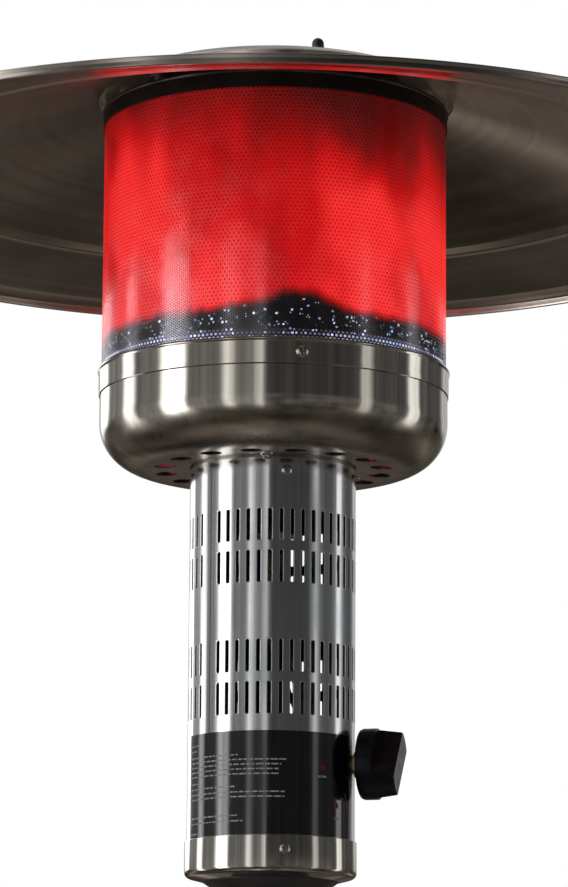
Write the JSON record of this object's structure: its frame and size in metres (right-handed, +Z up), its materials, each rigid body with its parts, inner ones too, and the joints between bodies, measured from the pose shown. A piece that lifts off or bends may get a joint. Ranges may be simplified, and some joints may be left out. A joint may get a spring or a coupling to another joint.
{
  "type": "outdoor heater",
  "caption": "Free-standing gas patio heater: round reflector over a glowing perforated emitter, slotted control housing with knob, post, lift-up tank cover and wheeled round base.",
  "frame": {"origin": "on the floor, on the post's axis, under the middle of the base", "axes": "+Z up along the post; the front of the heater faces -Y and the control knob sits on its right, +X"},
  "size_m": [0.792, 0.792, 2.2072],
  "materials": {
    "bright": "brushed stainless",
    "polished": "bright stainless",
    "reflector": "spun, dulled by heat",
    "hot": "perforated, red hot",
    "dark": "black satin",
    "steel": "zinc plated",
    "brass": "bare",
    "alloy": "die cast",
    "black": "satin black",
    "foil": "gloss black label",
    "ceramic": "glazed",
    "rubber": "black",
    "tyre": "black",
    "red": "moulded"
  },
  "bodies": {
    "frame": {"axle_cap_left": "steel", "axle_cap_right": "steel", "base_plate": "dark", "base_shell": "bright", "bottom_collar": "bright", "burner_bowl": "bright", "burner_gas_tube": "brass", "burner_head": "dark", "burner_plate": "steel", "burner_ring": "bright", "control_housing": "polished", "control_label": "foil", "emitter_lid": "dark", "emitter_screen": "hot", "gas_hose": "rubber", "gas_orifice": "brass", "gas_valve": "alloy", "mixing_tube": "steel", "piezo_igniter": "black", "pilot_burner": "brass", "pilot_tube": "brass", "post": "bright", "post_cone": "dark", "post_leg_1": "dark", "post_leg_2": "dark", "post_leg_3": "dark", "post_socket": "dark", "reflector": "reflector", "reflector_nut_1": "steel", "reflector_nut_2": "steel", "reflector_nut_3": "steel", "reflector_stud_1": "steel", "reflector_stud_2": "steel", "reflector_stud_3": "steel", "regulator": "alloy", "regulator_inlet": "brass", "ring_screw_1": "steel", "ring_screw_2": "steel", "ring_screw_3": "steel", "spark_electrode": "ceramic", "spark_lead": "rubber", "thermocouple": "steel", "thermocouple_lead": "brass", "tilt_switch": "red", "valve_bracket": "steel", "valve_bushing": "brass", "wheel_axle": "steel", "wheel_bracket": "dark"},
    "plunger": {"valve_plunger": "brass"},
    "knob": {"control_knob": "black", "valve_stem": "brass"},
    "cover": {"tank_cover": "bright", "cover_lid": "bright", "cover_grommet": "rubber"},
    "left_wheel": {"wheel_left": "tyre"},
    "right_wheel": {"wheel_right": "tyre"},
    "coupling_nut": {"regulator_nut": "black"}
  },
  "joints": [
    {"name": "knob_push", "type": "slide", "parent": "frame", "child": "plunger", "axis": [-0.9703, 0.2419, 0], "range_m": [0, 0.003], "stiffness_N_per_m": 900, "springref_m": -0.003},
    {"name": "knob_turn", "type": "hinge", "parent": "plunger", "child": "knob", "pos_m": [0.06792, -0.01693, 1.6725], "axis": [0.9703, -0.2419, 0], "range_deg": [-120, 60]},
    {"name": "cover_lift", "type": "slide", "parent": "frame", "child": "cover", "axis": [0, 0, 1], "range_m": [0, 0.7]},
    {"name": "left_wheel_spin", "type": "hinge", "parent": "frame", "child": "left_wheel", "pos_m": [-0.112, 0.272, 0.052], "axis": [1, 0, 0], "continuous": true},
    {"name": "right_wheel_spin", "type": "hinge", "parent": "frame", "child": "right_wheel", "pos_m": [0.112, 0.272, 0.052], "axis": [1, 0, 0], "continuous": true},
    {"name": "coupling_nut_turn", "type": "hinge", "parent": "frame", "child": "coupling_nut", "pos_m": [0, -0.062, 0.449], "axis": [0, 0, 1], "continuous": true}
  ]
}
